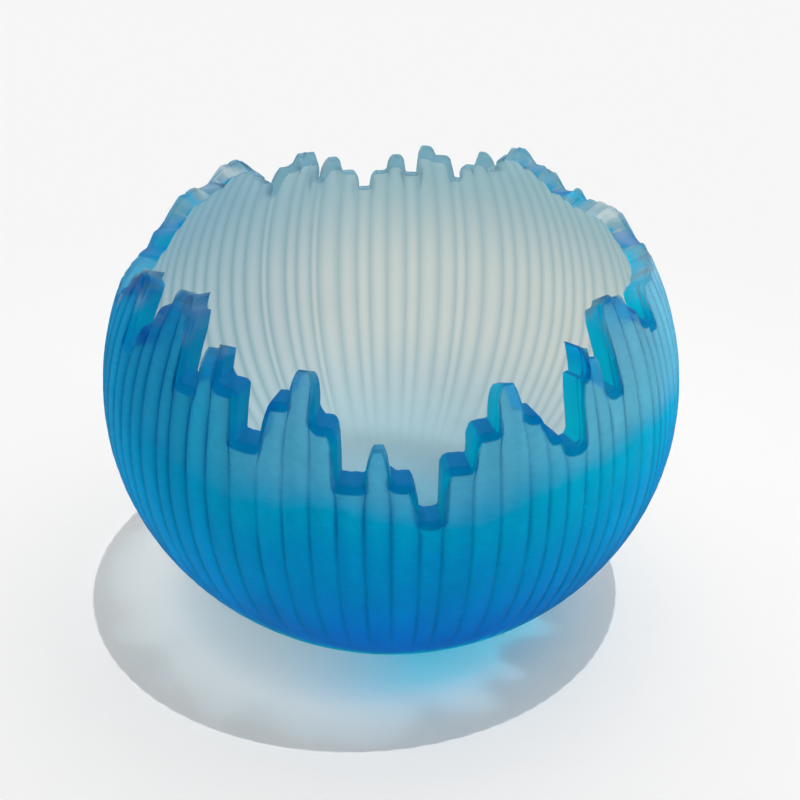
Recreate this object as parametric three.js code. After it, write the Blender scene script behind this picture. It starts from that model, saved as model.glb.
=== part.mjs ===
import * as THREE from 'three';

// Cased glass orb: a thin blue overlay around a thick pale lining.
// Millimetres, +Z up, the flat foot stands on z = 0, the low front of the rim faces -Y.

const bodyRadius = 105;
const shoulderHeight = 108;
const bowlDepth = 100.5;
const footRadius = 44;
const overlayThickness = 1.8;
const liningThickness = 7.9;
const floorThickness = 12;
const layerGap = 0.3;
const grooveDepth = 0.7;
const tallestTip = 71.5;
const pontilRadius = 15;
const pontilDepth = 1.1;

// One row for each rib, from the front towards the right and round to the front again:
// its width in degrees, then how high its top is cut at the left, the crown and the right,
// in percent of the tallest tip above the widest level.
const ribs = [
  [4.7, 18, 17, 7],
  [3.7, -1, -3, -1],
  [5.0, 21, 23, 23],
  [4.8, 32, 37, 37],
  [5.3, 49, 55, 49],
  [3.7, 41, 40, 37],
  [3.8, 34, 28, 21],
  [3.8, 22, 21, 22],
  [3.5, 40, 48, 49],
  [3.4, 56, 60, 55],
  [3.7, 49, 42, 38],
  [3.4, 38, 37, 38],
  [4.2, 68, 74, 75],
  [4.0, 74, 72, 69],
  [3.5, 68, 62, 57],
  [3.5, 54, 54, 54],
  [4.5, 66, 70, 70],
  [4.5, 70, 69, 68],
  [4.5, 69, 70, 70],
  [4.5, 68, 68, 68],
  [4.5, 69, 70, 69],
  [4.5, 66, 67, 67],
  [4.0, 68, 69, 68],
  [4.5, 66, 66, 68],
  [4.5, 76, 81, 81],
  [5.0, 81, 80, 79],
  [5.5, 79, 79, 78],
  [5.2, 77, 76, 74],
  [3.5, 78, 79, 78],
  [3.8, 77, 76, 74],
  [3.3, 78, 85, 87],
  [3.4, 87, 88, 88],
  [3.8, 94, 99, 100],
  [4.0, 99, 98, 96],
  [4.0, 95, 93, 88],
  [3.7, 86, 82, 79],
  [5.6, 84, 89, 84],
  [4.7, 79, 78, 72],
  [2.9, 66, 66, 66],
  [4.6, 82, 83, 83],
  [5.3, 87, 90, 85],
  [3.7, 69, 69, 69],
  [5.0, 80, 82, 78],
  [4.6, 71, 70, 66],
  [3.6, 58, 58, 58],
  [4.9, 67, 71, 71],
  [5.7, 78, 82, 76],
  [2.0, 66, 66, 66],
  [4.0, 83, 87, 88],
  [3.2, 88, 87, 84],
  [5.1, 81, 79, 72],
  [2.0, 61, 61, 61],
  [4.9, 71, 73, 78],
  [4.0, 82, 84, 86],
  [4.5, 87, 90, 93],
  [4.5, 93, 95, 95],
  [4.2, 94, 93, 87],
  [4.8, 83, 82, 82],
  [4.5, 84, 85, 85],
  [4.5, 83, 82, 81],
  [4.5, 76, 74, 74],
  [4.5, 74, 74, 73],
  [4.5, 74, 73, 72],
  [4.5, 73, 74, 72],
  [4.0, 72, 71, 69],
  [4.5, 53, 53, 53],
  [4.0, 53, 52, 53],
  [4.5, 62, 67, 68],
  [5.0, 68, 71, 71],
  [5.0, 72, 74, 69],
  [4.3, 44, 44, 44],
  [4.2, 49, 56, 60],
  [4.0, 62, 68, 70],
  [5.0, 75, 79, 76],
  [3.5, 72, 68, 63],
  [4.5, 44, 44, 44],
  [4.5, 57, 65, 59],
  [4.3, 51, 51, 48],
  [5.1, 28, 28, 28],
  [5.3, 41, 49, 49],
  [4.7, 56, 62, 57],
  [4.5, 46, 43, 38],
  [4.5, 16, 16, 16],
  [4.4, 24, 32, 23],
];

const wallThickness = overlayThickness + layerGap + liningThickness;
const footDrop = bowlDepth * Math.sqrt(1 - (footRadius / bodyRadius) ** 2);
const hollowDepth = footDrop - floorThickness;

// The rim zone starts a little below the deepest notch; the flutes die out lower down.
const { degToRad } = THREE.MathUtils;
const rimZoneStart = degToRad(-8);
const fluteFull = degToRad(-22);
const fluteEnd = degToRad(-45);
const rimZoneRows = 4;
const hollowRows = 5;
const columnsPerCoarse = 3;

// Columns of the rim: four to a rib, the outer two in the grooves on its sides.
function makeColumns() {
  const total = ribs.reduce((sum, rib) => sum + rib[0], 0);
  const columns = [];
  let edge = 0;
  for (const [share, left, crown, right] of ribs) {
    const width = (share / total) * 2 * Math.PI;
    const marks = [
      { at: 0.04, top: left, groove: 1 },
      { at: 0.34, top: crown, groove: 0 },
      { at: 0.66, top: crown, groove: 0 },
      { at: 0.96, top: right, groove: 1 },
    ];
    for (const mark of marks) {
      const lift = (mark.top / 100) * tallestTip;
      columns.push({
        turn: edge + width * mark.at,
        top: Math.asin(lift / (lift < 0 ? bowlDepth : shoulderHeight)),
        groove: mark.groove,
      });
    }
    edge += width;
  }
  return columns;
}

const columns = makeColumns();
const coarseColumns = columns.filter((column, index) => index % columnsPerCoarse === 0);

// Radius and level of a point on the wall: angle runs up the outer curve from the widest
// level, depth is measured inwards, square to the outer curve.
function wallPoint(angle, depth) {
  const rise = angle < 0 ? bowlDepth : shoulderHeight;
  const across = rise * Math.cos(angle);
  const up = bodyRadius * Math.sin(angle);
  const length = Math.hypot(across, up);
  return {
    radius: bodyRadius * Math.cos(angle) - (depth * across) / length,
    level: footDrop + rise * Math.sin(angle) - (depth * up) / length,
  };
}

// The hollow follows the wall above the widest level and leaves a thicker bottom below it.
function hollowPoint(angle) {
  if (angle >= 0) {
    return wallPoint(angle, wallThickness);
  }
  return {
    radius: (bodyRadius - wallThickness) * Math.cos(angle),
    level: footDrop + hollowDepth * Math.sin(angle),
  };
}

// Where the curve at this depth comes down to the flat bottom of its own layer.
function footAngle(depth) {
  let low = -Math.PI / 2;
  let high = rimZoneStart;
  for (let step = 0; step < 50; step += 1) {
    const middle = (low + high) / 2;
    if (wallPoint(middle, depth).level < depth) {
      low = middle;
    } else {
      high = middle;
    }
  }
  return high;
}

function between(start, end, share) {
  return start + (end - start) * share;
}

// A skin is a run of rings from the middle of the bottom round the wall to the other side.
class Skin {
  constructor() {
    this.points = [];
    this.faces = [];
    this.last = null;
    this.down = false;
  }

  addPoint(radius, level, turn) {
    this.points.push(radius * Math.sin(turn), -radius * Math.cos(turn), level);
    return this.points.length / 3 - 1;
  }

  centre(level) {
    this.join([this.addPoint(0, level, 0)]);
  }

  ring(list, place) {
    this.join(list.map((column) => {
      const { radius, level } = place(column);
      return this.addPoint(radius, level, column.turn);
    }));
  }

  join(next) {
    const before = this.last;
    this.last = next;
    if (before === null) {
      return;
    }
    const count = Math.max(before.length, next.length);
    for (let i = 0; i < count; i += 1) {
      this.strip(before, next, i, count);
    }
  }

  strip(before, next, i, count) {
    const after = i + 1;
    if (before.length === next.length) {
      // The diagonal leans the same way on both sides of the gap between the layers.
      const j = after % count;
      if (this.down) {
        this.faces.push(before[i], before[j], next[i], before[j], next[j], next[i]);
      } else {
        this.faces.push(before[i], before[j], next[j], before[i], next[j], next[i]);
      }
    } else if (before.length === 1) {
      this.faces.push(before[0], next[after % count], next[i]);
    } else if (next.length === 1) {
      this.faces.push(before[i], before[after % count], next[0]);
    } else if (before.length < next.length) {
      const own = before[Math.floor((i + 1) / columnsPerCoarse) % before.length];
      this.faces.push(own, next[after % count], next[i]);
      if (i % columnsPerCoarse === columnsPerCoarse - 1) {
        this.faces.push(before[Math.floor(i / columnsPerCoarse)], own, next[i]);
      }
    } else {
      const own = next[Math.floor((i + 1) / columnsPerCoarse) % next.length];
      this.faces.push(before[i], before[after % count], own);
      if (i % columnsPerCoarse === columnsPerCoarse - 1) {
        this.faces.push(before[i], own, next[Math.floor(i / columnsPerCoarse)]);
      }
    }
  }

  geometry() {
    const result = new THREE.BufferGeometry();
    result.setAttribute('position', new THREE.Float32BufferAttribute(this.points, 3));
    result.setIndex(this.faces);
    result.computeVertexNormals();
    return result;
  }
}

// Adds the rim zone of one surface, upwards or downwards.
function addRimZone(skin, place, upwards) {
  skin.down = false;
  for (let row = 0; row <= rimZoneRows; row += 1) {
    const share = (upwards ? row : rimZoneRows - row) / rimZoneRows;
    skin.ring(columns, (column) => place(between(rimZoneStart, column.top, share), column));
    skin.down = !upwards;
  }
}

function flutedPoint(angle, column) {
  const fade = THREE.MathUtils.smoothstep(angle, fluteEnd, fluteFull);
  return wallPoint(angle, grooveDepth * column.groove * fade);
}

// The plain surface at one depth, from the edge of its flat bottom up to the rim zone.
function plainAngles(depth) {
  const start = footAngle(depth);
  return [0, 0.25, 0.5, 0.75].map((share) => between(start, rimZoneStart, share));
}

function addPlainUp(skin, depth) {
  skin.centre(depth);
  for (const angle of plainAngles(depth)) {
    skin.ring(coarseColumns, () => wallPoint(angle, depth));
  }
  addRimZone(skin, (angle) => wallPoint(angle, depth), true);
}

function addPlainDown(skin, depth) {
  addRimZone(skin, (angle) => wallPoint(angle, depth), false);
  for (const angle of plainAngles(depth).reverse()) {
    skin.ring(coarseColumns, () => wallPoint(angle, depth));
  }
  skin.centre(depth);
}

function makeOverlay() {
  const skin = new Skin();
  skin.centre(pontilDepth);
  skin.ring(coarseColumns, () => ({ radius: pontilRadius * 0.6, level: pontilDepth * 0.7 }));
  skin.ring(coarseColumns, () => ({ radius: pontilRadius, level: 0 }));
  const start = footAngle(0);
  for (const share of [0, 0.5]) {
    skin.ring(coarseColumns, () => wallPoint(between(start, fluteEnd, share), 0));
  }
  for (const share of [0, 0.35, 0.7]) {
    const angle = between(fluteEnd, rimZoneStart, share);
    skin.ring(columns, (column) => flutedPoint(angle, column));
  }
  addRimZone(skin, flutedPoint, true);
  addPlainDown(skin, overlayThickness);
  return skin.geometry();
}

function makeLining() {
  const skin = new Skin();
  addPlainUp(skin, overlayThickness + layerGap);
  addRimZone(skin, (angle) => hollowPoint(angle), false);
  for (let row = 1; row <= hollowRows; row += 1) {
    const angle = between(rimZoneStart, -Math.PI / 2, row / (hollowRows + 1));
    skin.ring(coarseColumns, () => hollowPoint(angle));
  }
  skin.centre(floorThickness);
  return skin.geometry();
}

function addPiece(group, name, geometry, look) {
  const mesh = new THREE.Mesh(geometry, new THREE.MeshStandardMaterial(look));
  mesh.name = name;
  group.add(mesh);
}

const group = new THREE.Group();
group.name = 'glass_orb';
addPiece(group, 'blue_overlay', makeOverlay(), {
  color: new THREE.Color(0.02, 0.3, 0.56),
  roughness: 0.45,
  metalness: 0,
});
addPiece(group, 'pale_lining', makeLining(), {
  color: new THREE.Color(0.72, 0.78, 0.76),
  roughness: 0.45,
  metalness: 0,
});

// The ribs differ in width, so the widest points are brought back to the middle.
const box = new THREE.Box3().setFromObject(group);
const middle = box.getCenter(new THREE.Vector3());
for (const mesh of group.children) {
  mesh.geometry.translate(-middle.x, -middle.y, 0);
}

export default group;
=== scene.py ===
import math

import bmesh
import bpy
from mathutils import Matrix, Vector, noise


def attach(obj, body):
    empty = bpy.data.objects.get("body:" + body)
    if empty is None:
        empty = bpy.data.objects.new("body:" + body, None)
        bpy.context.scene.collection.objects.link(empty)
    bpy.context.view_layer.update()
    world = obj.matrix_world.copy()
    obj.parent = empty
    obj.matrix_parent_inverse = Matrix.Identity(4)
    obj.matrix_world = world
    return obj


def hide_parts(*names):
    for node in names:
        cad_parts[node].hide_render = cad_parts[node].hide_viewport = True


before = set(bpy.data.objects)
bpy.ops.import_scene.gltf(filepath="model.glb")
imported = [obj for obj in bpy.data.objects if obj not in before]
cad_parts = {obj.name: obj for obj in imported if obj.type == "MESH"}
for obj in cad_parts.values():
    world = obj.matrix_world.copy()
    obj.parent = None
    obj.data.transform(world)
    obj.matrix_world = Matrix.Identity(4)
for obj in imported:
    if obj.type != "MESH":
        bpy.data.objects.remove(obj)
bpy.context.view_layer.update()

# The orb's measures, in metres. The walls are cut from two ellipses, one above and one below
# the widest level.
orb = {
    "bodyRadius": 0.105,
    "shoulderHeight": 0.1045,
    "bowlDepth": 0.0972,
    "footRadius": 0.044,
    "overlayThickness": 0.0018,
    "liningThickness": 0.0069,
    "liningAtTip": 0.0044,
    "floorThickness": 0.012,
    "layerGap": 0.0003,  # thickness of the fused face between the layers
    "layerOverlap": 0.0001,
    "clearance": 0.00008,  # how far the outside stays within the full radius
    "tallestTip": 0.0751,  # above the widest level
    "pontilRadius": 0.015,
    "pontilDepth": 0.0011,
    "pontilCurve": ((0.0, 1.0), (0.5, 0.85), (0.85, 0.4)),  # shares of radius and depth
    "edgeWidth": 0.001,  # softened edges of the foot ring
    "edgeLift": 0.0002,
}

# One row for each rib, from the front towards the right and round to the front again:
# width in degrees, then the height of its top at the left, the crown and the right,
# in percent of the tallest tip.
ribTable = [
    (4.7, 23, 22, 14), (3.7, 7, 6, 7), (5.0, 26, 28, 28), (4.8, 36, 40, 40),
    (5.3, 53, 58, 47), (3.7, 44, 43, 40), (3.8, 38, 33, 28), (3.8, 27, 26, 28),
    (3.5, 43, 52, 63), (3.4, 63, 59, 51), (3.7, 45, 42, 42), (4.9, 70, 75, 76),
    (4.9, 77, 75, 72), (3.0, 70, 67, 62), (2.8, 60, 59, 57), (3.0, 56, 56, 56),
    (4.5, 67, 71, 71), (4.5, 71, 70, 69), (4.5, 70, 71, 71), (4.5, 69, 69, 69),
    (4.5, 70, 71, 70), (4.5, 67, 68, 68), (4.0, 69, 70, 69), (4.5, 67, 67, 69),
    (4.5, 76, 80, 80), (5.0, 81, 80, 79), (5.5, 79, 79, 78), (5.2, 77, 77, 75),
    (3.5, 79, 81, 80), (3.8, 78, 77, 77), (3.3, 81, 87, 89), (3.4, 89, 90, 90),
    (3.8, 95, 99, 100), (4.0, 98, 98, 96), (4.0, 94, 92, 88), (3.7, 86, 82, 81),
    (5.6, 87, 91, 83), (4.7, 82, 81, 75), (2.9, 71, 71, 71), (4.6, 85, 86, 86),
    (5.3, 91, 92, 87), (3.7, 73, 73, 73), (5.0, 83, 85, 82), (4.6, 75, 74, 71),
    (3.6, 63, 63, 63), (4.9, 72, 75, 75), (5.7, 82, 85, 80), (2.0, 71, 71, 71),
    (4.0, 86, 90, 91), (3.2, 91, 90, 87), (5.1, 84, 82, 76), (2.0, 66, 66, 66),
    (4.9, 75, 77, 82), (4.0, 83, 85, 87), (4.5, 88, 91, 94), (4.5, 94, 95, 95),
    (4.2, 94, 94, 88), (4.8, 84, 83, 83), (4.5, 85, 85, 85), (4.5, 84, 84, 79),
    (4.5, 72, 68, 63), (4.5, 60, 60, 59), (4.5, 59, 58, 58), (4.5, 58, 57, 57),
    (4.0, 57, 57, 56), (4.5, 56, 55, 55), (4.0, 55, 55, 57), (4.5, 59, 62, 67),
    (5.0, 67, 72, 76), (5.0, 77, 76, 73), (4.3, 48, 48, 48), (4.2, 52, 59, 62),
    (4.0, 64, 70, 72), (5.0, 77, 80, 81), (3.5, 78, 73, 67), (4.5, 47, 47, 47),
    (4.5, 57, 65, 68), (5.0, 53, 51, 50), (5.1, 32, 32, 32), (4.6, 42, 50, 50),
    (4.7, 58, 64, 60), (4.5, 46, 43, 38), (4.5, 21, 21, 21), (4.4, 29, 37, 28),
]

# Places across a rib are shares of its width. Roundings, waves and chips are in metres.
rim = {
    "zoneStart": math.radians(-3),
    "columnPlaces": (0.0, 0.04, 0.08, 0.13, 0.2, 0.3, 0.42, 0.58, 0.7, 0.8, 0.87, 0.92, 0.96),
    "flankStart": 0.04,
    "crownStart": 0.34,
    "levelStep": 11,  # percent below the rib beside it, from which a cut is fully level
    "levelRise": 0.15,
    "cornerRounding": 0.0016,
    "notchRounding": 0.0010,
    "tipEdge": 0.0009,
    "notchEdge": 0.0020,
    "innerEdge": 0.0003,
    "edgeHold": 8,  # power that keeps the roundings close to the cut
    "waviness": 0.0004,
    "waveScale": 14,
    "chipDepth": 0.0006,
    "chipScale": 60,
    "chipShare": 0.1,  # more of the rim is chipped as this grows
}

# The grooves have their full depth above one angle and end at the other.
flute = {
    "depth": 0.0007,
    "lineWidth": 0.0006,
    "lineInGroove": 0.6,  # the rest of a groove is its round swell
    "full": math.radians(-22),
    "end": math.radians(-45),
    "toneStep": 3.7,  # sets the tones of neighbouring ribs apart
}

# How many rows of faces each part of a layer has, and where the rows of its edges lie.
grid = {
    "footRows": 6,
    "wallRows": 12,
    "overlayRimRows": 14,
    "liningRimRows": 12,
    "seamRows": 4,
    "hollowRows": 16,
    "crowding": 1.4,
    "overlayEdge": (0.04, 0.13, 0.28, 0.5, 0.75),
    "liningEdge": (0.25, 0.55, 0.8, 0.96, 0.98, 0.993),
    "farBelow": 0.2,  # metres under the rim, for the foot and the floor
    "weld": 0.000001,
}


def ease(value, low, high):
    share = min(1.0, max(0.0, (value - low) / (high - low)))
    return share * share * (3 - 2 * share)


def between(start, end, share):
    return start + (end - start) * share


# The height of a rib's top at one place across it, in percent.
def ribTop(at, left, crown, right, before):
    start, crownStart = rim["flankStart"], rim["crownStart"]
    quarter = math.pi / 2 / (crownStart - start)
    if at == 0.0:
        return (before + left) / 2
    if at < crownStart:
        return left + (crown - left) * math.sin((at - start) * quarter)
    if at > 1 - crownStart:
        return right + (crown - right) * math.sin((1 - start - at) * quarter)
    return crown


# How far a corner of this radius takes the outline down, at a distance from the step beside it.
def cornerDrop(distance, radius):
    if distance >= radius or radius <= 0:
        return 0.0
    return radius - math.sqrt(radius ** 2 - (radius - distance) ** 2)


# A rib that stands out is cut square to the wall, one well below a rib beside it level.
def levelShare(index):
    taller = max(ribTable[index - 1][2], ribTable[(index + 1) % len(ribTable)][2])
    return min(1.0, max(0.0, (taller - ribTable[index][2]) / rim["levelStep"]))


# The change of height beside a step down (above 0) or up (below 0) to the next rib.
def besideStep(distance, step):
    if step > 0:
        return -cornerDrop(distance, min(rim["cornerRounding"], step / 2))
    return cornerDrop(distance, min(rim["notchRounding"], -step / 2))


def roundWave(turn, scale, level=0.0):
    return noise.noise(Vector((math.sin(turn) * scale, math.cos(turn) * scale, level * scale)))


def makeColumns():
    total = sum(rib[0] for rib in ribTable)
    percent = orb["tallestTip"] / 100
    columns = []
    edge = 0.0
    for index, (share, left, crown, right) in enumerate(ribTable):
        before = ribTable[index - 1][3]
        after = ribTable[(index + 1) % len(ribTable)][1]
        width = share / total * 2 * math.pi
        level = levelShare(index)
        for at in rim["columnPlaces"]:
            turn = edge + width * at
            lift = ribTop(at, left, crown, right, before) * percent
            ribWidth = width * math.sqrt(1 - (lift / orb["shoulderHeight"]) ** 2)
            ribWidth *= orb["bodyRadius"]
            if at > 0:
                lift += besideStep(at * ribWidth, (left - before) * percent)
                lift += besideStep((1 - at) * ribWidth, (right - after) * percent)
            lift -= rim["waviness"] * (0.5 + 0.5 * roundWave(turn, rim["waveScale"]))
            rise = orb["bowlDepth"] if lift < 0 else orb["shoulderHeight"]
            near = min(at, 1 - at) * width * orb["bodyRadius"]
            line = math.exp(-(near / flute["lineWidth"]) ** 2)
            swell = 0.5 + 0.5 * math.cos(2 * math.pi * at)
            columns.append({
                "turn": turn,
                "top": math.asin(lift / rise),
                "line": line,
                "groove": between(swell, line, flute["lineInGroove"]),
                "swell": swell,
                "level": level if at > 0 else (level + levelShare(index - 1)) / 2,
                "rib": index,
            })
        edge += width
    return columns


# Each column learns which way the glass lies from the rim beside it, so that the edge
# can be rounded square to the rim's outline, on the tops and on the steps alike.
def aimColumns(columns):
    count = len(columns)
    for index, column in enumerate(columns):
        last = columns[index - 1]
        following = columns[(index + 1) % count]
        across = (following["turn"] - last["turn"]) % (2 * math.pi)
        across *= orb["bodyRadius"] * math.cos(column["top"])
        up = (following["top"] - last["top"]) * orb["bodyRadius"]
        length = math.hypot(across, up)
        column["inTurn"] = up / length / (orb["bodyRadius"] * math.cos(column["top"]))
        column["inAngle"] = -across / length / orb["bodyRadius"]


columns = makeColumns()
aimColumns(columns)
print("rim outline:", len(ribTable), "ribs,", len(columns), "columns")

footDrop = orb["bowlDepth"] * math.sqrt(1 - (orb["footRadius"] / orb["bodyRadius"]) ** 2)
wallThickness = orb["overlayThickness"] + orb["layerGap"] + orb["liningThickness"]
hollowDepth = footDrop - orb["floorThickness"]


# Radius and level on the wall; depth is measured inwards, square to the outer curve.
def wallPoint(angle, depth):
    rise = orb["bowlDepth"] if angle < 0 else orb["shoulderHeight"]
    across = rise * math.cos(angle)
    up = orb["bodyRadius"] * math.sin(angle)
    length = math.hypot(across, up)
    radius = orb["bodyRadius"] * math.cos(angle) - depth * across / length
    return radius, footDrop + rise * math.sin(angle) - depth * up / length


# The lining thins out from the widest level towards the height of the tallest tip.
def wallDepth(angle):
    share = math.sin(max(angle, 0)) * orb["shoulderHeight"] / orb["tallestTip"]
    return wallThickness - (orb["liningThickness"] - orb["liningAtTip"]) * share ** 2


# The hollow follows the wall above the widest level and leaves a thicker floor below it.
def hollowPoint(angle, depth):
    if angle >= 0:
        return wallPoint(angle, depth)
    radius = (orb["bodyRadius"] - depth) * math.cos(angle)
    return radius, footDrop + (hollowDepth + wallThickness - depth) * math.sin(angle)


# Where a surface at this depth is cut off by the top of the column.
def cutAngle(column, depth):
    slope = math.tan(column["top"]) + rim["levelRise"]
    return column["top"] + column["level"] * depth * slope / (orb["bodyRadius"] - depth)


# How far the rounded outer and inner edges take the cut face back at this depth.
def edgeInset(column, depth, full):
    outer = between(rim["tipEdge"], rim["notchEdge"], column["level"])
    return cornerDrop(depth, outer) + cornerDrop(full - depth, rim["innerEdge"])


# The angle at which the curve at this depth comes down to the flat bottom of its layer.
def footAngle(depth):
    low = -math.pi / 2
    high = rim["zoneStart"]
    for _ in range(50):
        middle = (low + high) / 2
        if wallPoint(middle, depth)[1] < depth:
            low = middle
        else:
            high = middle
    return high


# Every row of a layer is a rule that places one column on it: radius, level and turn, then
# how far it lies below the top of the column and whether it is on the cut face of the rim.
def plainRow(radius, level):
    return lambda column: (radius, level, column["turn"], grid["farBelow"], 0.0)


def wallRow(angle, depth, curve=wallPoint, fluted=False):
    fade = ease(angle, flute["end"], flute["full"]) if fluted else 0.0

    def place(column):
        radius, level = curve(angle, depth + flute["depth"] * column["groove"] * fade)
        return radius, level, column["turn"], (column["top"] - angle) * orb["bodyRadius"], 0.0

    return place


# A row of the rim zone: its share of the way up to the cut, its depth in the wall, and then
# the share of the way across from that depth to the hollow.
def rimRow(share, depth, across=0.0, curve=wallPoint, fluted=0.0, chipped=0.0):
    def place(column):
        full = wallDepth(column["top"])
        deep = between(depth, full, across)
        drop = edgeInset(column, deep, full)
        if chipped:
            chip = roundWave(column["turn"], rim["chipScale"], column["top"])
            drop += chipped * max(0.0, chip + rim["chipShare"])
        top = cutAngle(column, deep) + column["inAngle"] * drop
        angle = between(rim["zoneStart"], top, share)
        turn = column["turn"] + column["inTurn"] * drop * share ** rim["edgeHold"]
        if across == 1.0:
            deep = wallDepth(angle)
        if fluted:
            deep += orb["clearance"] + flute["depth"] * column["groove"] * fluted
        radius, level = curve(angle, deep)
        below = (1 - share) * (top - rim["zoneStart"]) * orb["bodyRadius"]
        onCut = 1.0 if share == 1 and (0 < depth or across) and across < 1 else 0.0
        return radius, level, turn, below, onCut

    return place


# Even shares from 0 to 1.
def evenShares(count):
    return [step / count for step in range(count + 1)]


# Shares from 0 to 1 that lie closer together towards the cut.
def upShares(count):
    return [1 - (1 - share) ** grid["crowding"] for share in evenShares(count)]


def overlayRows():
    inner = orb["overlayThickness"] + (orb["layerGap"] + orb["layerOverlap"]) / 2
    start = footAngle(0)
    rows = [
        plainRow(orb["pontilRadius"] * out, orb["pontilDepth"] * up)
        for out, up in orb["pontilCurve"]
    ]
    rows += [
        plainRow(orb["pontilRadius"], orb["edgeLift"] / 2),
        plainRow(orb["pontilRadius"] + orb["edgeWidth"], 0),
        plainRow(orb["footRadius"] - 3 * orb["edgeWidth"], 0),
        plainRow(orb["footRadius"] - orb["edgeWidth"], orb["edgeLift"]),
    ]
    for share in evenShares(grid["footRows"])[1:]:
        rows.append(wallRow(between(start, flute["end"], share), orb["clearance"]))
    for share in evenShares(grid["wallRows"])[1:-1]:
        angle = between(flute["end"], rim["zoneStart"], share)
        rows.append(wallRow(angle, orb["clearance"], fluted=True))
    for share in upShares(grid["overlayRimRows"]):
        rows.append(rimRow(share, 0, fluted=1.0))
    for share in grid["overlayEdge"]:
        rows.append(rimRow(1, inner * share, fluted=1 - share))
    seamStart = len(rows)
    for share in evenShares(grid["seamRows"])[::-1]:
        rows.append(rimRow(share, inner))
    bottom = footAngle(inner)
    for share in evenShares(grid["footRows"])[1:]:
        rows.append(wallRow(between(rim["zoneStart"], bottom, share), inner))
    rows.append(plainRow(0, inner))
    return rows, (seamStart, len(rows))


def liningRows():
    outer = orb["overlayThickness"] + (orb["layerGap"] - orb["layerOverlap"]) / 2
    bottom = footAngle(outer)
    rows = [plainRow(0, outer)]
    for share in evenShares(grid["footRows"])[:-1]:
        rows.append(wallRow(between(bottom, rim["zoneStart"], share), outer))
    for share in evenShares(grid["seamRows"]):
        rows.append(rimRow(share, outer))
    seamEnd = len(rows) - 1
    for across in grid["liningEdge"]:
        chipped = rim["chipDepth"] * across ** rim["edgeHold"]
        rows.append(rimRow(1, outer, across, chipped=chipped))
    for share in upShares(grid["liningRimRows"])[::-1]:
        chipped = rim["chipDepth"] * share ** rim["edgeHold"]
        rows.append(rimRow(share, outer, 1.0, curve=hollowPoint, chipped=chipped))
    for share in evenShares(grid["hollowRows"])[1:-1]:
        angle = between(rim["zoneStart"], -math.pi / 2, share)
        rows.append(wallRow(angle, wallThickness, curve=hollowPoint))
    rows.append(plainRow(0, orb["floorThickness"]))
    return rows, (0, seamEnd)


# A layer starts as a flat sheet, one strip for each row and one line for each column. It is
# rolled up round the axis, and each column of it is cut to the height of its rib. The strips
# from seam[0] to seam[1] are the face that the layers share, which takes the second material.
def rollLayer(name, rows, seam):
    count = len(columns)
    shape = bmesh.new()
    layers = shape.verts.layers.float
    lineLayer, swellLayer = layers.new("ribLine"), layers.new("ribSwell")
    toneLayer = layers.new("ribTone")
    belowLayer, cutLayer = layers.new("belowTop"), layers.new("cutFace")
    levelLayer = layers.new("levelCut")
    rowOf = {}
    bmesh.ops.create_grid(shape, x_segments=count, y_segments=len(rows) - 1, size=1)
    for point in shape.verts:
        column = columns[round((point.co.x + 1) / 2 * count) % count]
        row = round((point.co.y + 1) / 2 * (len(rows) - 1))
        radius, level, turn, below, onCut = rows[row](column)
        point.co = (radius * math.sin(turn), -radius * math.cos(turn), level)
        point[lineLayer] = column["line"]
        point[swellLayer] = column["swell"]
        point[toneLayer] = noise.noise(Vector((column["rib"] * flute["toneStep"], 0.5, 0.5)))
        point[belowLayer] = below * 100  # in centimetres
        point[cutLayer] = onCut
        point[levelLayer] = column["level"]
        rowOf[point] = row
    for face in shape.faces:
        face.smooth = True
        strip = min(rowOf[point] for point in face.verts)
        face.material_index = 1 if seam[0] <= strip < seam[1] else 0
    bmesh.ops.remove_doubles(shape, verts=shape.verts, dist=grid["weld"])
    bmesh.ops.recalc_face_normals(shape, faces=shape.faces)
    mesh = bpy.data.meshes.new(name)
    shape.to_mesh(mesh)
    shape.free()
    layer = bpy.data.objects.new(name, mesh)
    bpy.context.scene.collection.objects.link(layer)
    print(name, "made with", len(mesh.polygons), "faces")
    return layer


blueOverlay = rollLayer("blueOverlay", *overlayRows())
paleLining = rollLayer("paleLining", *liningRows())

# The ribs differ in width, so the widest points are brought back to the middle.
middle = Vector((0, 0, 0))
for axis in (0, 1):
    places = [corner[axis] for corner in blueOverlay.bound_box]
    middle[axis] = (min(places) + max(places)) / 2
for layer in (blueOverlay, paleLining):
    for point in layer.data.vertices:
        point.co -= middle

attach(blueOverlay, "root")
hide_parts("blue_overlay")
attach(paleLining, "root")
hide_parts("pale_lining")


def newMaterial(name):
    material = bpy.data.materials.new(name)
    material.use_nodes = True
    shader = material.node_tree.nodes["Principled BSDF"]
    return material, material.node_tree, shader


# A socket takes a link, a number or a colour of three numbers.
def linkInput(tree, socket, value):
    if isinstance(value, bpy.types.NodeSocket):
        tree.links.new(value, socket)
    elif socket.type == "RGBA":
        socket.default_value = (*value, 1)
    elif value is not None:
        socket.default_value = value


def readAttribute(tree, name):
    node = tree.nodes.new("ShaderNodeAttribute")
    node.attribute_name = name
    return node.outputs["Fac"]


def calculate(tree, operation, first, second=None, third=None):
    node = tree.nodes.new("ShaderNodeMath")
    node.operation = operation
    for socket, value in zip(node.inputs, (first, second, third)):
        linkInput(tree, socket, value)
    return node.outputs[0]


# A soft step from 0 to 1 while the value goes from one bound to the other.
def softStep(tree, value, low, high):
    node = tree.nodes.new("ShaderNodeMapRange")
    node.interpolation_type = "SMOOTHSTEP"
    linkInput(tree, node.inputs["Value"], value)
    linkInput(tree, node.inputs["From Min"], low)
    linkInput(tree, node.inputs["From Max"], high)
    return node.outputs["Result"]


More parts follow.
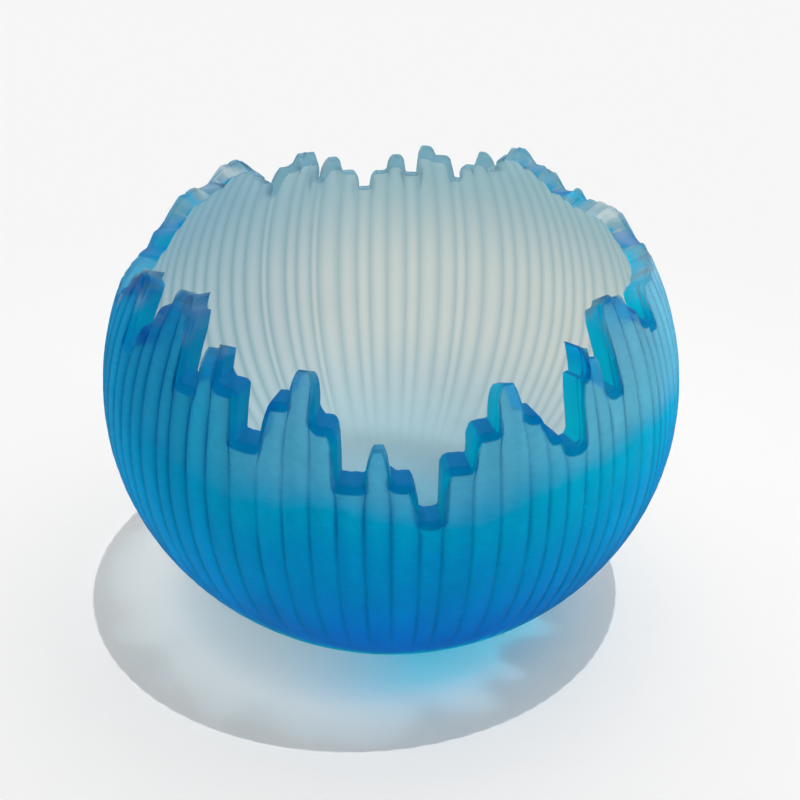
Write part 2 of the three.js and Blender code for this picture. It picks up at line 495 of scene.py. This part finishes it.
def mixColors(tree, factor, first, second, blend="MIX"):
    node = tree.nodes.new("ShaderNodeMix")
    node.data_type = "RGBA"
    node.blend_type = blend
    linkInput(tree, node.inputs["Factor"], factor)
    linkInput(tree, node.inputs[6], first)
    linkInput(tree, node.inputs[7], second)
    return node.outputs[2]


def rampColors(tree, factor, stops):
    node = tree.nodes.new("ShaderNodeValToRGB")
    node.color_ramp.interpolation = "EASE"
    for index, (place, color) in enumerate(stops):
        if index < 2:
            stop = node.color_ramp.elements[index]
            stop.position = place
        else:
            stop = node.color_ramp.elements.new(place)
        stop.color = (*color, 1)
    linkInput(tree, node.inputs["Fac"], factor)
    return node.outputs["Color"]


# Noise on the orb's own coordinates, between 0 and 1.
def makeNoise(tree, scale, stretch=(1, 1, 1), detail=2.0):
    mapping = tree.nodes.new("ShaderNodeMapping")
    mapping.inputs["Scale"].default_value = stretch
    place = tree.nodes.new("ShaderNodeTexCoord").outputs["Object"]
    linkInput(tree, mapping.inputs["Vector"], place)
    node = tree.nodes.new("ShaderNodeTexNoise")
    node.inputs["Detail"].default_value = detail
    linkInput(tree, node.inputs["Scale"], scale)
    linkInput(tree, node.inputs["Vector"], mapping.outputs["Vector"])
    return node.outputs["Fac"]


# The same noise, swinging to both sides of 0.
def makeSwing(tree, scale, stretch=(1, 1, 1), detail=2.0):
    return calculate(tree, "SUBTRACT", makeNoise(tree, scale, stretch, detail), 0.5)


# Where a point lies on the orb ("Object"), or which way its surface looks ("Normal").
def readAxes(tree, kind):
    axes = tree.nodes.new("ShaderNodeSeparateXYZ")
    linkInput(tree, axes.inputs[0], tree.nodes.new("ShaderNodeTexCoord").outputs[kind])
    return axes.outputs


# A node group with named inputs and one output.
def newGroup(name, inputs, output, outputKind):
    group = bpy.data.node_groups.new(name, "ShaderNodeTree")
    for label, kind in inputs:
        group.interface.new_socket(label, in_out="INPUT", socket_type=kind)
    group.interface.new_socket(output, in_out="OUTPUT", socket_type=outputKind)
    given = group.nodes.new("NodeGroupInput").outputs
    return group, given, group.nodes.new("NodeGroupOutput").inputs[output]


def placeGroup(tree, group, values):
    node = tree.nodes.new("ShaderNodeGroup")
    node.node_tree = group
    for label, value in values.items():
        linkInput(tree, node.inputs[label], value)
    return node.outputs[0]


# The cut glass of the rim, its light and shade painted: blue, deeper in painted shade where it
# is cut level and on the side walls of the steps, a painted glow where it looks to the left on
# the right half, steel blue at the back, and, where it is high, darker in some patches and pale
# with a painted reflection of the sky in others, at the sides. Zones are in metres, the other
# pairs are shares between 0 and 1.
cutLook = {
    # The deep and wall colours are painted shade, the glow colour is painted light through the
    # glass, and the pale colour is a painted reflection of the sky.
    "cap": (0.02, 0.34, 0.7),
    "deep": (0.0, 0.17, 0.6),
    "wall": (0.0, 0.25, 0.6),
    "paintedGlow": (0.0, 0.55, 1.0),
    "pale": (0.72, 0.82, 0.86),
    "dim": (0.1, 0.32, 0.46),
    "levelCuts": (0.1, 0.6),
    "wallFacing": (0.5, 0.2),
    "glowFacing": (0.1, 0.6),
    "glowZone": (0.0, 0.04),
    "backZone": (0.045, 0.065),
    "paleZone": (0.134, 0.146),
    "paleWander": 0.016,
    "wanderScale": 30.0,
    "paleFacing": (0.0, 0.5),
    "sideZone": (0.02, 0.05),
    "patchScale": 45.0,
    "palePatches": (0.46, 0.6),
    "dimPatches": (0.36, 0.46),
    "dimShare": (0.0, 0.5),
    "lessOnLevel": -0.7,
}


def makeCutGroup():
    layerColor = ("Layer Color", "NodeSocketColor")
    tree, given, result = newGroup("cutGlass", [layerColor], "Color", "NodeSocketColor")
    place, facing = readAxes(tree, "Object"), readAxes(tree, "Normal")
    # Painted shade: deeper blue where the rim is cut level, and on the side walls of the steps.
    level = softStep(tree, readAttribute(tree, "levelCut"), *cutLook["levelCuts"])
    color = mixColors(tree, level, cutLook["cap"], cutLook["deep"])
    side = softStep(tree, facing["Z"], *cutLook["wallFacing"])
    color = mixColors(tree, side, color, cutLook["wall"])
    # A painted glow of light through the glass, where a cut on the right half looks to the left.
    toLeft = calculate(tree, "MULTIPLY", facing["X"], -1.0)
    toLeft = softStep(tree, toLeft, *cutLook["glowFacing"])
    rightHalf = softStep(tree, place["X"], *cutLook["glowZone"])
    paintedGlow = calculate(tree, "MULTIPLY", toLeft, rightHalf)
    color = mixColors(tree, paintedGlow, color, cutLook["paintedGlow"])
    atBack = softStep(tree, place["Y"], *cutLook["backZone"])
    color = mixColors(tree, atBack, color, cutLook["dim"])

    # High, upward cuts: darker in some patches, and a painted reflection of the sky in pale
    # patches at the sides.
    wander = makeSwing(tree, cutLook["wanderScale"])
    height = calculate(tree, "MULTIPLY_ADD", wander, cutLook["paleWander"], place["Z"])
    high = softStep(tree, height, *cutLook["paleZone"])
    upward = softStep(tree, facing["Z"], *cutLook["paleFacing"])
    share = calculate(tree, "MULTIPLY", high, upward)
    less = calculate(tree, "MULTIPLY_ADD", level, cutLook["lessOnLevel"], 1.0)
    share = calculate(tree, "MULTIPLY", share, less)
    cloud = makeNoise(tree, cutLook["patchScale"])
    dimPatch = softStep(tree, cloud, *cutLook["dimPatches"])
    dimShare = softStep(tree, share, *cutLook["dimShare"])
    dimShare = calculate(tree, "MULTIPLY", dimShare, dimPatch)
    color = mixColors(tree, dimShare, color, cutLook["dim"])
    aside = calculate(tree, "ABSOLUTE", place["X"])
    aside = softStep(tree, aside, *cutLook["sideZone"])
    palePatch = softStep(tree, cloud, *cutLook["palePatches"])
    palePatch = calculate(tree, "MULTIPLY", palePatch, aside)
    paleShare = calculate(tree, "MULTIPLY", share, palePatch)
    color = mixColors(tree, paleShare, color, cutLook["pale"])
    onCut = readAttribute(tree, "cutFace")
    linkInput(tree, result, mixColors(tree, onCut, given["Layer Color"], color))
    return tree


# The painted shade of the grooves: a thin line in each groove and a soft band beside it, which
# both fade in upwards.
def makeRibGroup():
    labels = ("Line", "Band", "Band Power", "Fade From", "Fade To")
    inputs = [(label, "NodeSocketFloat") for label in labels]
    tree, given, result = newGroup("ribShade", inputs, "Mask", "NodeSocketFloat")
    line = calculate(tree, "MULTIPLY", readAttribute(tree, "ribLine"), given["Line"])
    band = calculate(tree, "POWER", readAttribute(tree, "ribSwell"), given["Band Power"])
    mask = calculate(tree, "MULTIPLY_ADD", band, given["Band"], line)
    height = readAxes(tree, "Object")["Z"]
    fade = softStep(tree, height, given["Fade From"], given["Fade To"])
    linkInput(tree, result, calculate(tree, "MULTIPLY", mask, fade))
    return tree


# The grain of the frosting, finer up the wall than across it.
frost = {
    "grainScale": 220.0,
    "grainStretch": (1, 1, 3),
    "strength": 0.5,
}


def makeFrostGroup():
    scale = ("Scale", "NodeSocketFloat")
    tree, given, result = newGroup("frostGrain", [scale], "Height", "NodeSocketFloat")
    linkInput(tree, result, makeNoise(tree, given["Scale"], frost["grainStretch"]))
    return tree


cutGroup, ribGroup, frostGroup = makeCutGroup(), makeRibGroup(), makeFrostGroup()


# The lamp shines through a layer in the colour of its glass, and all else meets the surface.
def letLampThrough(tree, shader, color):
    path = tree.nodes.new("ShaderNodeLightPath")
    clear = tree.nodes.new("ShaderNodeBsdfTransparent")
    linkInput(tree, clear.inputs["Color"], color)
    mix = tree.nodes.new("ShaderNodeMixShader")
    linkInput(tree, mix.inputs[0], path.outputs["Is Shadow Ray"])
    linkInput(tree, mix.inputs[1], shader.outputs["BSDF"])
    linkInput(tree, mix.inputs[2], clear.outputs["BSDF"])
    linkInput(tree, tree.nodes["Material Output"].inputs["Surface"], mix.outputs["Shader"])


def frostGlass(tree, shader, look, color):
    linkInput(tree, shader.inputs["Base Color"], color)
    linkInput(tree, shader.inputs["Roughness"], look["roughness"])
    linkInput(tree, shader.inputs["IOR"], look["bend"])
    linkInput(tree, shader.inputs["Specular IOR Level"], look["shine"])
    linkInput(tree, shader.inputs["Specular Tint"], look["shineTint"])
    linkInput(tree, shader.inputs["Transmission Weight"], look["clear"])
    bump = tree.nodes.new("ShaderNodeBump")
    linkInput(tree, bump.inputs["Distance"], look["bump"])
    linkInput(tree, bump.inputs["Strength"], frost["strength"])
    grain = placeGroup(tree, frostGroup, {"Scale": frost["grainScale"]})
    linkInput(tree, bump.inputs["Height"], grain)
    linkInput(tree, shader.inputs["Normal"], bump.outputs["Normal"])
    letLampThrough(tree, shader, look["lamp"])


# The blue deepens from the rim down to the foot, as painted shade under the bulge, and the
# whitish top of the ramp is a painted sheen. Zones are in metres, or in shares of the height
# that the stops span.
blueLook = {
    "stops": (
        (0.0, (0.0, 0.035, 0.42)), (0.2, (0.0, 0.12, 0.76)), (0.45, (0.0, 0.32, 1.0)),
        (0.56, (0.0, 0.46, 1.0)), (0.65, (0.06, 0.58, 1.0)), (0.8, (0.11, 0.6, 1.0)),
        (1.0, (0.14, 0.54, 0.96)),
    ),
    "stopsHeight": 0.17,
    "wander": 0.24,
    "wanderScale": 14.0,
    "wanderDetail": 5.0,
    # Painted shade on the left side, where the whitish sheen is also taken out.
    "shadeAtLeft": (0.0, 0.24, 0.66),
    "leftZone": (0.03, 0.09),
    "leftShares": (0.3, 0.6),
    "leftShadeTint": (0.08, 1.0, 1.0),
    "tintZone": (0.03, 0.06),
    "line": (0.0, 0.1, 0.46),
    "lineShare": 0.6,
    "lineBreaks": (2.4, -0.3),
    "breakScale": 40.0,
    "lineZone": (0.015, 0.05),
    "band": 0.12,
    "bandAtLeft": 0.55,
    "bandPower": 1.5,
    # A painted glow of light along the lower outline.
    "edge": (0.0, 0.62, 0.95),
    "edgeFacing": (0.84, 0.96),
    "edgeZone": (0.06, 0.02),
    "ribTone": 0.14,
    "grain": 0.3,
    "grainScale": 320.0,
    "grainStretch": (1, 1, 2),
    "grainDetail": 4.0,
    "tip": (0.5, 0.64, 0.7),
    "tipShare": 0.6,
    "tipReach": (0.3, 0.9),  # centimetres below the top
    "tipRagged": 0.5,
    "raggedScale": 60.0,
    "tipZone": (0.125, 0.15),
    "tipPatches": (0.4, 0.6),
    "patchScale": 45.0,
    "roughness": 0.7,
    "bend": 1.12,
    "shine": 0.2,
    "shineTint": (0.0, 0.5, 1.0),
    "clear": 0.85,
    "bump": 0.0008,
    "lamp": (0.03, 0.13, 0.18),
    "fromInside": (0.62, 0.72, 0.72),
    # Colours that the floor's bounces see, which paint the orb's glow and shadow on the floor.
    "onFloorLow": (0.0, 0.2, 0.4),
    "onFloorLeft": (0.18, 0.24, 0.28),
    "onFloorHigh": (0.72, 0.62, 0.55),
    "floorHeights": (0.015, 0.06),
    "floorSides": (-0.05, 0.01),
}


# The frost near the tips: ragged, in patches, and only on the high part of the rim.
def tipFrost(tree, place):
    ragged = makeNoise(tree, blueLook["raggedScale"])
    below = readAttribute(tree, "belowTop")
    ragged = calculate(tree, "MULTIPLY_ADD", ragged, blueLook["tipRagged"], below)
    near = softStep(tree, ragged, *blueLook["tipReach"])
    near = calculate(tree, "SUBTRACT", 1.0, near)
    high = softStep(tree, place["Z"], *blueLook["tipZone"])
    patch = makeNoise(tree, blueLook["patchScale"])
    patch = softStep(tree, patch, *blueLook["tipPatches"])
    near = calculate(tree, "MULTIPLY", calculate(tree, "MULTIPLY", near, high), patch)
    return calculate(tree, "MULTIPLY", near, blueLook["tipShare"])


def makeBlueGlass():
    material, tree, shader = newMaterial("blueOverlayGlass")
    place = readAxes(tree, "Object")
    toLeft = calculate(tree, "MULTIPLY", place["X"], -1.0)
    # The ramp by height paints shade towards the foot and a whitish sheen near the rim.
    wander = makeSwing(tree, blueLook["wanderScale"], detail=blueLook["wanderDetail"])
    height = calculate(tree, "DIVIDE", place["Z"], blueLook["stopsHeight"])
    height = calculate(tree, "MULTIPLY_ADD", wander, blueLook["wander"], height)
    color = rampColors(tree, height, blueLook["stops"])
    # Painted shade on the left side: a darker blue up the wall, with the whitish sheen taken
    # out.
    left = softStep(tree, toLeft, *blueLook["leftZone"])
    highLeft = softStep(tree, height, *blueLook["leftShares"])
    left = calculate(tree, "MULTIPLY", left, highLeft)
    color = mixColors(tree, left, color, blueLook["shadeAtLeft"])
    leftShadeShare = softStep(tree, toLeft, *blueLook["tintZone"])
    color = mixColors(tree, leftShadeShare, color, blueLook["leftShadeTint"], "MULTIPLY")

    # Painted shade in the grooves, stronger on the shaded left.
    broken = makeNoise(tree, blueLook["breakScale"])
    broken = calculate(tree, "MULTIPLY_ADD", broken, *blueLook["lineBreaks"])
    band = calculate(tree, "MULTIPLY_ADD", left, blueLook["bandAtLeft"], blueLook["band"])
    line = placeGroup(tree, ribGroup, {
        "Line": calculate(tree, "MULTIPLY", broken, blueLook["lineShare"]),
        "Band": band,
        "Band Power": blueLook["bandPower"],
        "Fade From": blueLook["lineZone"][0],
        "Fade To": blueLook["lineZone"][1],
    })
    color = mixColors(tree, line, color, blueLook["line"])
    # A painted glow of light along the lower outline, where the wall turns away from view.
    facing = tree.nodes.new("ShaderNodeLayerWeight").outputs["Facing"]
    edge = softStep(tree, facing, *blueLook["edgeFacing"])
    edge = calculate(tree, "MULTIPLY", edge, softStep(tree, place["Z"], *blueLook["edgeZone"]))
    color = mixColors(tree, edge, color, blueLook["edge"])

    tone = readAttribute(tree, "ribTone")
    tone = calculate(tree, "MULTIPLY_ADD", tone, blueLook["ribTone"], 1.0)
    grain = makeSwing(
        tree, blueLook["grainScale"], blueLook["grainStretch"], blueLook["grainDetail"])
    tone = calculate(tree, "MULTIPLY_ADD", grain, blueLook["grain"], tone)
    gray = tree.nodes.new("ShaderNodeCombineColor")
    for socket in gray.inputs:
        linkInput(tree, socket, tone)
    color = mixColors(tree, 1.0, color, gray.outputs[0], "MULTIPLY")
    color = mixColors(tree, tipFrost(tree, place), color, blueLook["tip"])
    color = placeGroup(tree, cutGroup, {"Layer Color": color})

    # What is seen from inside the glass is paler, which lets paler light into the hollow. What
    # the floor's bounces see is painted: a cyan glow low on the right, grey shade on the left
    # and a warm tone higher up paint the orb's glow and shadow on the floor.
    behind = tree.nodes.new("ShaderNodeNewGeometry").outputs["Backfacing"]
    color = mixColors(tree, behind, color, blueLook["fromInside"])
    diffuse = tree.nodes.new("ShaderNodeLightPath").outputs["Is Diffuse Ray"]
    toRight = softStep(tree, place["X"], *blueLook["floorSides"])
    raised = softStep(tree, place["Z"], *blueLook["floorHeights"])
    onFloor = mixColors(tree, toRight, blueLook["onFloorLeft"], blueLook["onFloorLow"])
    onFloor = mixColors(tree, raised, onFloor, blueLook["onFloorHigh"])
    color = mixColors(tree, diffuse, color, onFloor)
    frostGlass(tree, shader, blueLook, color)
    return material


# The lining is warm in the middle. The blue at the left, the top and the bottom is painted:
# light through the blue wall at the left and the top, and shade at the bottom.
paleLook = {
    "middle": (0.85, 0.85, 0.77),
    "upper": (0.27, 0.5, 0.57),
    "upperZone": (0.09, 0.15),
    "left": (0.44, 0.6, 0.68),
    "leftZone": (0.0, 0.085),
    "corner": (0.15, 0.39, 0.57),
    "bottom": (0.4, 0.64, 0.74),
    "bottomZone": (0.03, 0.075),
    "line": (0.13, 0.34, 0.42),
    "lineShare": 0.52,
    "lineMoreAtLeft": 0.36,
    "lineInShade": 0.25,
    "lineZone": (0.022, 0.052),
    "bandPower": 1.4,
    "roughness": 0.6,
    "bend": 1.2,
    "shine": 0.2,
    "shineTint": (0.8, 0.9, 1.0),
    "clear": 0.8,
    "bump": 0.0001,
    "lamp": (0.95, 0.95, 0.95),
}


def makePaleGlass():
    material, tree, shader = newMaterial("paleLiningGlass")
    place = readAxes(tree, "Object")
    # Painted light through the blue wall at the top and the left, and painted shade at the
    # bottom.
    upper = softStep(tree, place["Z"], *paleLook["upperZone"])
    color = mixColors(tree, upper, paleLook["middle"], paleLook["upper"])
    toLeft = calculate(tree, "MULTIPLY", place["X"], -1.0)
    left = softStep(tree, toLeft, *paleLook["leftZone"])
    color = mixColors(tree, left, color, paleLook["left"])
    corner = calculate(tree, "MULTIPLY", left, upper)
    color = mixColors(tree, corner, color, paleLook["corner"])
    low = softStep(tree, place["Z"], *paleLook["bottomZone"])
    color = mixColors(tree, calculate(tree, "SUBTRACT", 1.0, low), color, paleLook["bottom"])

    # Painted shade of the grooves seen through the wall, stronger at the left.
    share = calculate(
        tree, "MULTIPLY_ADD", left, paleLook["lineMoreAtLeft"], paleLook["lineShare"])
    line = placeGroup(tree, ribGroup, {
        "Line": calculate(tree, "MULTIPLY", share, paleLook["lineInShade"]),
        "Band": calculate(tree, "MULTIPLY", share, 1 - paleLook["lineInShade"]),
        "Band Power": paleLook["bandPower"],
        "Fade From": paleLook["lineZone"][0],
        "Fade To": paleLook["lineZone"][1],
    })
    color = mixColors(tree, line, color, paleLook["line"])
    color = placeGroup(tree, cutGroup, {"Layer Color": color})
    frostGlass(tree, shader, paleLook, color)
    return material


# The two layers are fused, so the face between them can't be seen.
def makeSeam():
    material, tree, shader = newMaterial("fusedSeam")
    tree.nodes.remove(shader)
    clear = tree.nodes.new("ShaderNodeBsdfTransparent")
    linkInput(tree, tree.nodes["Material Output"].inputs["Surface"], clear.outputs["BSDF"])
    return material


seamMaterial = makeSeam()
for layer, material in ((blueOverlay, makeBlueGlass()), (paleLining, makePaleGlass())):
    layer.data.materials.append(material)
    layer.data.materials.append(seamMaterial)
print("glass materials done")

# A white floor, painted lighter near the orb to cancel the orb's shade on it, a sky that is
# brighter towards the right and the back, and one lamp. Each brightness is a strength, the near
# zone of the floor is in metres.
studio = {
    "floorSize": 30,
    "floorDrop": 0.0002,
    "floorColor": (0.93, 0.93, 0.93),
    # The floor near the orb is painted lighter, to cancel the orb's shade on it.
    "floorLitNearOrb": (0.98, 0.97, 0.97),
    "nearZone": (0.12, 0.5),
    "fill": 0.66,
    "fromRight": 0.28,
    "fromBack": 0.35,
    "seen": 0.93,
    "through": 0.1,
    "key": 1.07,
    "keyFrom": (0.166, -0.06, 1.0),
    "keyAngle": math.radians(0.5),
}

bpy.ops.mesh.primitive_plane_add(size=studio["floorSize"], location=(0, 0, -studio["floorDrop"]))
floor = bpy.context.object
floor.name = "studioFloor"
floorMaterial, floorTree, floorShader = newMaterial("studioFloorPaint")
floorReach = floorTree.nodes.new("ShaderNodeVectorMath")
floorReach.operation = "LENGTH"
floorPlace = floorTree.nodes.new("ShaderNodeTexCoord").outputs["Object"]
linkInput(floorTree, floorReach.inputs[0], floorPlace)
# Painted light: the floor turns lighter near the orb, against the orb's shade on it.
away = softStep(floorTree, floorReach.outputs["Value"], *studio["nearZone"])
floorColor = mixColors(floorTree, away, studio["floorLitNearOrb"], studio["floorColor"])
linkInput(floorTree, floorShader.inputs["Base Color"], floorColor)
linkInput(floorTree, floorShader.inputs["Roughness"], 1.0)
linkInput(floorTree, floorShader.inputs["Specular IOR Level"], 0.0)
floor.data.materials.append(floorMaterial)

world = bpy.data.worlds.new("studioWorld")
bpy.context.scene.world = world
world.use_nodes = True
sky = world.node_tree
background = sky.nodes["Background"]
linkInput(sky, background.inputs["Color"], (1, 1, 1))
aim = sky.nodes.new("ShaderNodeSeparateXYZ")
linkInput(sky, aim.inputs[0], sky.nodes.new("ShaderNodeTexCoord").outputs["Generated"])
fill = calculate(sky, "MULTIPLY_ADD", aim.outputs["X"], studio["fromRight"], studio["fill"])
fill = calculate(sky, "MULTIPLY_ADD", aim.outputs["Y"], studio["fromBack"], fill)
skyPath = sky.nodes.new("ShaderNodeLightPath").outputs
through = calculate(sky, "MULTIPLY", skyPath["Is Transmission Ray"], studio["through"])
strength = calculate(sky, "ADD", fill, through)
unseen = calculate(sky, "SUBTRACT", 1.0, skyPath["Is Camera Ray"])
strength = calculate(sky, "MULTIPLY", strength, unseen)
strength = calculate(sky, "MULTIPLY_ADD", skyPath["Is Camera Ray"], studio["seen"], strength)
linkInput(sky, background.inputs["Strength"], strength)

keyData = bpy.data.lights.new("keyLamp", "SUN")
keyData.energy = studio["key"]
keyData.angle = studio["keyAngle"]
keyLamp = bpy.data.objects.new("keyLamp", keyData)
keyLamp.rotation_euler = Vector(studio["keyFrom"]).to_track_quat("Z", "Y").to_euler()
bpy.context.scene.collection.objects.link(keyLamp)
print("studio done")

view = {
    "place": (0.0, -0.381, 0.2784),
    "pitch": 26.52,
    "lens": 51.05,
    "sensor": 36,
    "shiftX": 0.0111,
    "shiftY": -0.0258,
    "nearest": 0.01,
}

cameraData = bpy.data.cameras.new("photoCamera")
cameraData.lens = view["lens"]
cameraData.sensor_width = view["sensor"]
cameraData.shift_x = view["shiftX"]
cameraData.shift_y = view["shiftY"]
cameraData.clip_start = view["nearest"]
camera = bpy.data.objects.new("photoCamera", cameraData)
camera.location = view["place"]
camera.rotation_euler = (math.radians(90 - view["pitch"]), 0, 0)
bpy.context.scene.collection.objects.link(camera)
bpy.context.scene.camera = camera

bpy.context.scene.view_settings.view_transform = "Standard"

print("scene ready")
